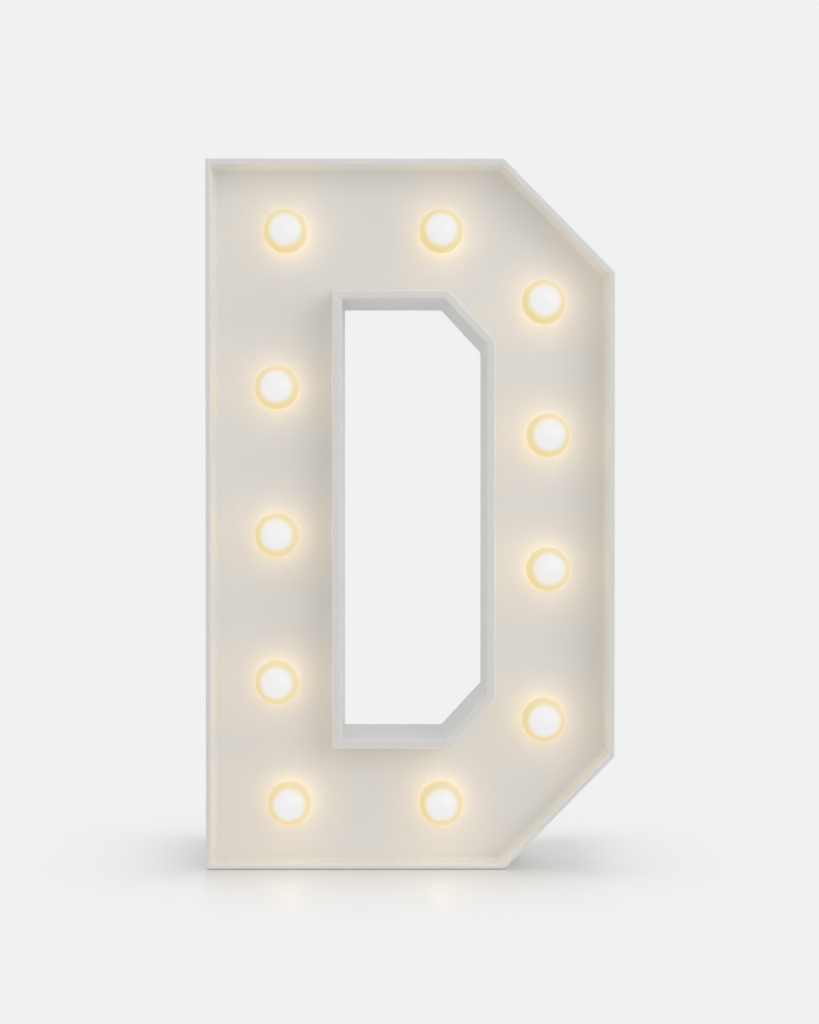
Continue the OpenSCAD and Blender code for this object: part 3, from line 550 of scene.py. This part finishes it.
moulding(
    "letter_moulding", "letter_shell", shell_plastic, "letter", "shell_plastic",
    width=0.45 * MM, segments=4, own_radius=shell_edge_radius
)
moulding(
    "cover_moulding", "back_cover", cover_plastic, "letter", "cover_plastic",
    width=0.22 * MM, segments=2
)
moulding(
    "door_moulding", "battery_door", cover_plastic, "battery_door", "cover_plastic",
    width=0.18 * MM, segments=2
)
moulding(
    "slide_knob", "switch_knob", knob_plastic, "switch_knob", "knob_plastic",
    width=0.14 * MM, segments=2
)

# Bulb caps, one turned shape repeated on the middles of the globes

GLOBE_R = 7.0 * MM
GLOBE_WALL = 0.9 * MM
SEAT_BELOW = 6.0 * MM
FLANGE_R = 5.6 * MM
FLANGE_T = 0.8 * MM
FLANGE_EDGE_R = 0.3 * MM
NECK_R = 4.5 * MM
NECK_BORE = 2.6 * MM
NECK_LENGTH = 5.0 * MM
RIDGE_BELOW = 2.1 * MM
RIDGE_LENGTH = 1.0 * MM
RIDGE_OUT = 0.25 * MM
BULBS = [name for name in sorted(nodes) if name.startswith("bulb_globe_")]


def bulb_cap():
    """Globe, seating flange and snap neck, with the globe's middle at the origin and its crown upwards."""
    seat = -SEAT_BELOW
    flange_top = seat + FLANGE_T
    tail = seat - NECK_LENGTH
    ridge_top = seat - RIDGE_BELOW
    ridge_foot = ridge_top - RIDGE_LENGTH
    ridge_r = NECK_R + RIDGE_OUT
    inner = GLOBE_R - GLOBE_WALL
    profile = arc(0, 0, GLOBE_R, 90, math.degrees(math.asin(flange_top / GLOBE_R)), 40)
    profile += arc(FLANGE_R - FLANGE_EDGE_R, flange_top - FLANGE_EDGE_R, FLANGE_EDGE_R, 90, 0, 4)
    profile += [(FLANGE_R, seat), (NECK_R, seat), (NECK_R, ridge_top), (ridge_r, ridge_top)]
    profile += [(ridge_r, ridge_foot), (NECK_R, ridge_foot), (NECK_R, tail), (NECK_BORE, tail)]
    profile += arc(0, 0, inner, -math.degrees(math.acos(NECK_BORE / inner)), 90, 24)
    return lathe("bulb_cap", profile, 72, uv_span=(tail, GLOBE_R))


cap = bulb_cap()
cap.transform(Matrix.Rotation(math.radians(90), 4, "X"))
crown = min(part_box(name)[0].y for name in BULBS)
middles = [Vector((middle_of(name).x, crown + GLOBE_R, middle_of(name).z)) for name in BULBS]
caps = repeated("bulb_caps", cap, middles, globe_glow)
caps = piece("bulb_caps", caps, [globe_glow], "letter", "globe_plastic", *BULBS)
caps.visible_shadow = False

# Solids that keep their own mesh

FINISHES = {
    "positive_bus_wire": red_insulation, "battery_lead": red_insulation, "switch_lead": red_insulation,
    "negative_bus_wire": black_insulation, "return_lead": black_insulation,
    "positive_contact": nickel_steel, "negative_contact": nickel_steel, "bridge_contact": nickel_steel,
    "switch_screws": zinc_steel, "switch_frame": tinned_sheet,
    "switch_base": brown_laminate, "switch_terminals": terminal_brass,
    "resistor": banded_lacquer(*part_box("resistor")),
}
FINISHES.update({name: diode_resin for name in nodes if name.startswith("led_")})
for name, finish in FINISHES.items():
    nodes[name].data.materials.clear()
    nodes[name].data.materials.append(finish)

# Cover screws, one turned and cross-cut screw repeated on the counterbores

SCREW_HEAD_R = 2.5 * MM
SCREW_HEAD_H = 1.8 * MM
SCREW_SHANK_R = 1.3 * MM
SCREW_LENGTH = 10 * MM
SCREW_CROWN_R = 3.2 * SCREW_HEAD_R
SCREW_BROW_R = 0.45 * SCREW_HEAD_H
SCREW_BROW_UP = 0.47 * SCREW_HEAD_H
SCREW_POINT_FROM = 0.8 * SCREW_LENGTH
SCREW_TIP_R = 0.25 * SCREW_SHANK_R
CROSS_LENGTH = 1.15 * SCREW_HEAD_R
CROSS_WIDTH = 0.30 * SCREW_HEAD_R
CROSS_TOP = 1.3 * SCREW_HEAD_H
CROSS_BOTTOM = 0.42 * SCREW_HEAD_H
CROSS_TAPER = 0.55


def cut_away(mesh, cutter):
    """A plain mesh with the cutter taken away from it."""
    made = placed("being_cut", mesh)
    tool = placed("cutter", cutter)
    cut = made.modifiers.new("cut", "BOOLEAN")
    cut.operation = "DIFFERENCE"
    cut.object = tool
    cut.solver = "EXACT"
    whole = plain_mesh(made)
    for gone in (made, tool):
        bpy.data.objects.remove(gone)
    return whole


def driver_cross():
    """The cross that a driver fits, which narrows towards its bottom."""
    a = CROSS_LENGTH / 2
    b = CROSS_WIDTH / 2
    quarter = [(a, -b), (a, b), (b, b)]
    outline = []
    for _ in range(4):
        outline += quarter
        quarter = [(-y, x) for x, y in quarter]
    shape = bmesh.new()
    rings = []
    for share, z in ((1.0, CROSS_TOP), (CROSS_TAPER, CROSS_BOTTOM)):
        rings.append([shape.verts.new((share * x, share * y, z)) for x, y in outline])
        shape.faces.new(rings[-1])
    for k in range(len(outline)):
        n = (k + 1) % len(outline)
        shape.faces.new([rings[0][k], rings[0][n], rings[1][n], rings[1][k]])
    outwards(shape)
    return mesh_of(shape, "driver_cross")


def cross_head_screw():
    """A pan-head screw along Y, with its seat at the origin and its head towards +Y."""
    profile = arc(0, SCREW_HEAD_H - SCREW_CROWN_R, SCREW_CROWN_R, 90, 77, 4)
    profile += arc(SCREW_HEAD_R - SCREW_BROW_R, SCREW_BROW_UP, SCREW_BROW_R, 55, 0, 5)
    profile += [(SCREW_HEAD_R, 0.0), (SCREW_SHANK_R, 0.0), (SCREW_SHANK_R, -SCREW_POINT_FROM)]
    profile += [(SCREW_TIP_R, -SCREW_LENGTH), (0.0, -SCREW_LENGTH)]
    mesh = cut_away(lathe("cross_head_screw", profile, 40), driver_cross())
    mesh.shade_smooth()
    mesh.set_sharp_from_angle(angle=math.radians(38))
    mesh.transform(Matrix.Rotation(math.radians(-90), 4, "X"))
    return mesh


def loose_boxes(node):
    """The boxes of a solid's separate bodies, from left to right."""
    mesh = merged(node)
    shape = bmesh.new()
    shape.from_mesh(mesh)
    left = set(shape.verts)
    boxes = []
    while left:
        group = [left.pop()]
        for v in group:
            for edge in v.link_edges:
                other = edge.other_vert(v)
                if other in left:
                    left.remove(other)
                    group.append(other)
        low = Vector([min(v.co[i] for v in group) for i in range(3)])
        high = Vector([max(v.co[i] for v in group) for i in range(3)])
        boxes.append((low, high))
    shape.free()
    bpy.data.meshes.remove(mesh)
    return sorted(boxes, key=lambda b: (round(b[0].x, 5), round(b[0].z, 5)))


screw_seats = []
for low, high in loose_boxes("cover_screws"):
    screw_seats.append(Vector(((low.x + high.x) / 2, high.y - SCREW_HEAD_H, (low.z + high.z) / 2)))
screws = repeated("cover_screw_set", cross_head_screw(), screw_seats, zinc_steel, math.radians(90), seed=4)
piece("cover_screw_set", screws, [zinc_steel], "letter", "screw_steel", "cover_screws")

# Cells, with plain printed jackets. Heights are down from the can's shoulder, or up from its foot

NUB_R = 2.75 * MM
NUB_H = 1.0 * MM
NUB_EDGE_R = 0.35 * MM
NUB_STEP = 0.5 * MM
WASHER_R = 5.7 * MM
WASHER_SUNK = 0.05 * MM
CAN_LIP_R = 5.9 * MM
CAN_EDGE_R = 0.6 * MM
FOOT_IN = 1.2 * MM
FOOT_UP = 0.3 * MM
BASE_IN = 1.8 * MM
JACKET_FOOT = 1.4 * MM
JACKET_FROM_R = 5.95 * MM
JACKET_FROM_H = 0.2 * MM
PALE_BAND = (2.4 * MM, 14.0 * MM)
PALE_LINE = (15.0 * MM, 15.6 * MM)
PLUS_DOWN = 8.0 * MM
PLUS_REACH = 2.1 * MM
MINUS_UP = 6.0 * MM
MARK_WIDTH = 0.9 * MM
MARK_OUT = 0.02 * MM
MARK_HALF_TURN = 0.30
UPRIGHT_HALF_TURN = 0.062
UPRIGHT_GAP = 0.01 * MM


def curved_bar(shape, r, half_turn, low, high):
    """A thin bar laid on a cell's jacket, on the side that faces the door."""
    steps = 6
    rows = []
    for radius in (r - MARK_OUT, r + MARK_OUT):
        for z in (low, high):
            turns = [math.pi / 2 + half_turn * (2 * k / steps - 1) for k in range(steps + 1)]
            rows.append([shape.verts.new((radius * math.cos(a), radius * math.sin(a), z)) for a in turns])
    for a, b in ((0, 1), (1, 3), (3, 2), (2, 0)):
        for k in range(steps):
            shape.faces.new([rows[a][k], rows[a][k + 1], rows[b][k + 1], rows[b][k]])
    for k in (0, steps):
        shape.faces.new([rows[0][k], rows[1][k], rows[3][k], rows[2][k]])


def mark(name, r, bars):
    """A printed mark on a cell, made of bars given as (half turn, low, high)."""
    shape = bmesh.new()
    for bar in bars:
        curved_bar(shape, r, *bar)
    outwards(shape)
    return mesh_of(shape, name)


def cell_profile(length, can, r):
    """A cell's outline from its nub round to its foot, with a corner at each end of a printed band."""
    nub_edge = arc(NUB_R - NUB_EDGE_R, length - NUB_EDGE_R, NUB_EDGE_R, 70, 0, 3)
    washer = can - WASHER_SUNK
    profile = [(0.0, length), (NUB_R - NUB_STEP, length)] + nub_edge
    profile += [(NUB_R, can), (NUB_R + NUB_STEP, washer), (WASHER_R, washer), (CAN_LIP_R, can)]
    profile += arc(r - CAN_EDGE_R, can - CAN_EDGE_R, CAN_EDGE_R, 90, 0, 4)
    profile += [(r, can - down) for down in PALE_BAND + PALE_LINE] + [(r, JACKET_FOOT)]
    profile += arc(r - CAN_EDGE_R, CAN_EDGE_R, CAN_EDGE_R, 0, -90, 4)
    return profile + [(r - FOOT_IN, FOOT_UP), (r - BASE_IN, 0.0), (0.0, 0.0)]


def dry_cell(node, nub_up):
    """A cell in place of its solid, with a plus and a minus printed towards the door."""
    low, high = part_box(node)
    length = high.z - low.z
    r = (high.x - low.x) / 2
    can = length - NUB_H

    def finish_of(radius, height):
        """Bare can, dark jacket or pale print, as 0, 1 or 2."""
        if radius < JACKET_FROM_R or height < JACKET_FROM_H:
            return 0
        pale = any(start < can - height < end for start, end in (PALE_BAND, PALE_LINE))
        return 2 if pale else 1

    mesh = lathe(node + "_dressed", cell_profile(length, can, r), 64, finish_of=finish_of)
    mesh.set_sharp_from_angle(angle=math.radians(40))
    z = can - PLUS_DOWN
    beside = MARK_WIDTH / 2 + UPRIGHT_GAP
    plus = mark(node + "_plus", r, [
        (MARK_HALF_TURN, z - MARK_WIDTH / 2, z + MARK_WIDTH / 2),
        (UPRIGHT_HALF_TURN, z - PLUS_REACH, z - beside),
        (UPRIGHT_HALF_TURN, z + beside, z + PLUS_REACH),
    ])
    minus = mark(node + "_minus", r, [(MARK_HALF_TURN, MINUS_UP, MINUS_UP + MARK_WIDTH)])
    x = (low.x + high.x) / 2
    y = (low.y + high.y) / 2
    spot = Matrix.Translation((x, y, low.z))
    if not nub_up:
        spot = Matrix.Translation((x, y, high.z)) @ Matrix.Rotation(math.pi, 4, "Y")
    for part in (mesh, plus, minus):
        part.transform(spot)
    piece(node + "_cell", mesh, [can_steel, jacket_dark, jacket_pale], "letter", "cell_jacket", node)
    piece(node + "_plus_mark", plus, [jacket_dark], "letter", "cell_jacket")
    piece(node + "_minus_mark", minus, [jacket_pale], "letter", "cell_jacket")


dry_cell("battery_left", True)
dry_cell("battery_right", False)

# Print on the back

PRINT_H = 2.2 * MM
PRINT_T = 0.02 * MM
PRINT_OUT = 0.005 * MM
PRINT_ASIDE = 5.0 * MM
PRINT_ABOVE = 6.6 * MM
CAPITAL_SHARE = 0.70


def lettering(words, height, x, y, z):
    """Flat capital letters that read from behind."""
    curve = bpy.data.curves.new("print", "FONT")
    curve.body = words
    curve.size = height / CAPITAL_SHARE
    curve.align_x = "CENTER"
    curve.align_y = "CENTER"
    curve.extrude = PRINT_T
    drawn = placed("print", curve)
    mesh = plain_mesh(drawn)
    bpy.data.objects.remove(drawn)
    mesh.transform(Matrix(((-1, 0, 0, x), (0, 0, 1, y), (0, 1, 0, z), (0, 0, 0, 1))))
    return mesh


print_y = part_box("back_cover")[1].y + PRINT_OUT
print_z = middle_of("switch_knob").z + PRINT_ABOVE
switch_x = middle_of("switch_frame").x
for words, x in (("ON", switch_x - PRINT_ASIDE), ("OFF", switch_x + PRINT_ASIDE)):
    mesh = lettering(words, PRINT_H, x, print_y, print_z)
    piece("print_" + words.lower(), mesh, [grey_print], "letter", "cover_plastic")

# Studio: floor, world, lamps and camera

BACKGROUND = (0.879, 0.879, 0.879)
FLOOR_PALE = (0.845, 0.845, 0.845)
FLOOR_DARK = tuple(0.985 * c for c in FLOOR_PALE)
FLOOR_HALF = 4.0
# The patch of floor that keeps its full shade, and how the shade fades over a distance from it
FOOT = (-7.15 * MM, 3.75 * MM, 0)
FOOT_HALF = (56.15 * MM, 26.25 * MM, 1.0)
FADE_REACH = 100 * MM
FLOOR_FADE = [(0.0, 0.0), (0.05, 0.12), (0.20, 0.64), (0.30, 0.84), (0.45, 0.95), (0.80, 1.0)]
SHEEN_FROM = 0.15
SHEEN_TO = 0.90
# Light of the world from ahead of the letter, at 0, to behind it, at 1
AMBIENT = 0.582
WORLD_SHARES = [
    (0.0, 0.45), (0.125, 0.75), (0.25, 1.07), (0.375, 1.32),
    (0.5, 1.10), (0.70, 0.84), (0.85, 1.10), (1.0, 1.75),
]
BULB_POWER = 0.00120
BULB_LIGHT = (1.0, 0.755, 0.51)
BULB_LAMP_AHEAD = Vector((0, -2.2 * MM, 0))
LETTER_MIDDLE = Vector((0, 0, 0.11))


def beyond_foot(tree, at):
    """Distance from the patch of floor that the letter stands on."""
    steps = (
        ("SUBTRACT", {1: FOOT}), ("ABSOLUTE", {}),
        ("SUBTRACT", {1: FOOT_HALF}), ("MAXIMUM", {1: (0, 0, 0)}),
    )
    for step, by in steps:
        at = add(tree, "ShaderNodeVectorMath", {0: at, **by}, operation=step).outputs["Vector"]
    return add(tree, "ShaderNodeVectorMath", {0: at}, operation="LENGTH").outputs["Value"]


def pale_floor():
    """A satin pale floor near the letter, which fades into the plain background away from it."""
    material, tree = blank("pale_studio_floor")
    at = place(tree)
    reach = spread(tree, beyond_foot(tree, at), 0.0, 1.0, 0.0, FADE_REACH)
    veil = maths(tree, "MULTIPLY", seen_rays(tree), levels(tree, reach, FLOOR_FADE))
    tone = mottled(tree, noise(tree, at, 80 * MM), FLOOR_PALE, FLOOR_DARK)
    matt = add(tree, "ShaderNodeBsdfDiffuse", {"Color": tone, "Roughness": 0.3})
    plain = add(tree, "ShaderNodeEmission", {"Color": (*BACKGROUND, 1.0), "Strength": 1.0})
    sheen = add(tree, "ShaderNodeBsdfGlossy", {"Color": (1, 1, 1, 1), "Roughness": 0.36})
    edge_on = add(tree, "ShaderNodeFresnel", {"IOR": 1.38}).outputs["Fac"]
    near = spread(tree, reach, 1.0, 0.0, SHEEN_FROM, SHEEN_TO)
    mirror = maths(tree, "MULTIPLY", edge_on, near)
    close(tree, mixed(tree, mirror, mixed(tree, veil, matt, plain), sheen))
    return material


def studio_floor():
    """A wide flat sheet under the letter."""
    sheet = bpy.data.meshes.new("studio_floor")
    corners = [(x * FLOOR_HALF, y * FLOOR_HALF, 0) for x, y in ((-1, -1), (1, -1), (1, 1), (-1, 1))]
    sheet.from_pydata(corners, [], [(0, 1, 2, 3)])
    sheet.materials.append(pale_floor())
    return placed("studio_floor", sheet)


def studio_world():
    """Soft light all round on a plain background, with the shares of its light set from ahead to behind."""
    world = bpy.data.worlds.new("studio_world")
    world.use_nodes = True
    tree = world.node_tree
    tree.nodes.clear()
    towards = axes(tree, add(tree, "ShaderNodeTexCoord").outputs["Generated"])
    behind = spread(tree, towards["Y"], 0.0, 1.0, -1.0, 1.0)
    level = levels(tree, behind, [(at, share * AMBIENT) for at, share in WORLD_SHARES])
    light = add(tree, "ShaderNodeBackground", {"Color": (1, 1, 1, 1), "Strength": level})
    plain = add(tree, "ShaderNodeBackground", {"Color": (*BACKGROUND, 1), "Strength": 1.0})
    whole = mixed(tree, seen_rays(tree), light, plain)
    add(tree, "ShaderNodeOutputWorld", {"Surface": whole.outputs[0]})
    return world


def softbox(name, at, size, power):
    """A square lamp that faces the letter."""
    lamp = bpy.data.lights.new(name, "AREA")
    lamp.shape = "SQUARE"
    lamp.size = size
    lamp.energy = power
    made = placed(name, lamp)
    made.location = at
    made.rotation_euler = (LETTER_MIDDLE - Vector(at)).to_track_quat("-Z", "Y").to_euler()


def bulb_lamp(name, at):
    """The light of one bulb, from inside its cap."""
    lamp = bpy.data.lights.new(name, "POINT")
    lamp.energy = BULB_POWER
    lamp.color = BULB_LIGHT
    lamp.shadow_soft_size = 0.0
    placed(name, lamp).location = at


def studio_camera():
    """A long lens, a little above the letter's middle and to its left."""
    lens = bpy.data.cameras.new("studio_camera")
    lens.lens = 79.94
    lens.sensor_width = 36.0
    lens.sensor_fit = "AUTO"
    lens.clip_start = 0.01
    lens.clip_end = 50.0
    made = placed("studio_camera", lens)
    made.location = (-4.2 * MM, -725.5 * MM, 119.2 * MM)
    made.rotation_euler = (math.radians(90 - 0.68), 0.0, math.radians(-0.32))
    return made


floor = studio_floor()
scene.world = studio_world()
for bulb, middle in zip(BULBS, middles):
    bulb_lamp(bulb + "_lamp", middle + BULB_LAMP_AHEAD)
softbox("key_softbox", (0.95, -1.3, 0.6), 1.1, 5.55)
softbox("front_softbox", (-0.4, -2.2, 0.55), 1.8, 4.10)
scene.camera = studio_camera()
scene.view_settings.view_transform = "Standard"
